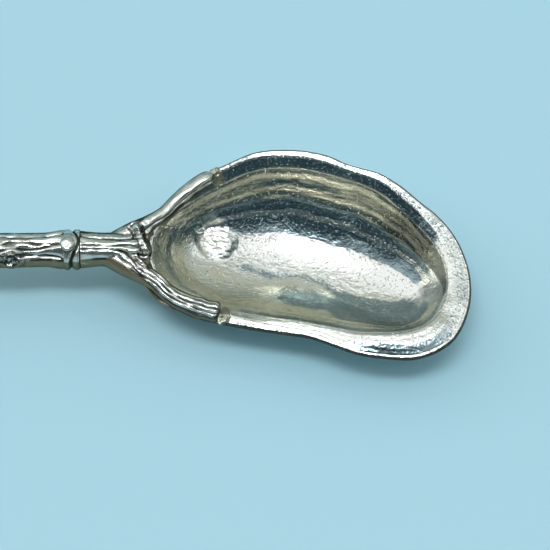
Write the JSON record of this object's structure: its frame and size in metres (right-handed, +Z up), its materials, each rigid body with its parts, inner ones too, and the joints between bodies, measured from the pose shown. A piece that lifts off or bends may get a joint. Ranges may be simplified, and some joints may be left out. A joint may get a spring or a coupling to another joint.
{
  "type": "jam spoon",
  "caption": "Cast silver jam spoon: an oyster-shaped bowl with a flared lip, held in the fork of a bark-covered branch that forms the handle.",
  "frame": {"origin": "centre of the worn flat that the bowl rests on, at the table", "axes": "+Z up, +X along the handle towards the bowl's tip, +Y to the far side of the bowl as the picture shows it"},
  "size_m": [0.1482, 0.0359, 0.0163],
  "materials": {
    "bowl_silver": "gloss",
    "bark_silver": "gloss",
    "cradle_silver": "gloss",
    "spigot_silver": "satin",
    "solder": "satin"
  },
  "bodies": {
    "root": {"bowl": "bowl_silver", "branch_fork": "bark_silver", "heel_cradle": "cradle_silver", "node_collar": "bark_silver", "node_bud": "bark_silver", "joint_spigot": "spigot_silver", "handle_branch": "bark_silver", "pruned_twig_front": "bark_silver", "pruned_twig_middle": "bark_silver", "pruned_twig_tail": "bark_silver", "far_twig_solder": "solder", "near_twig_solder": "solder"}
  },
  "joints": []
}
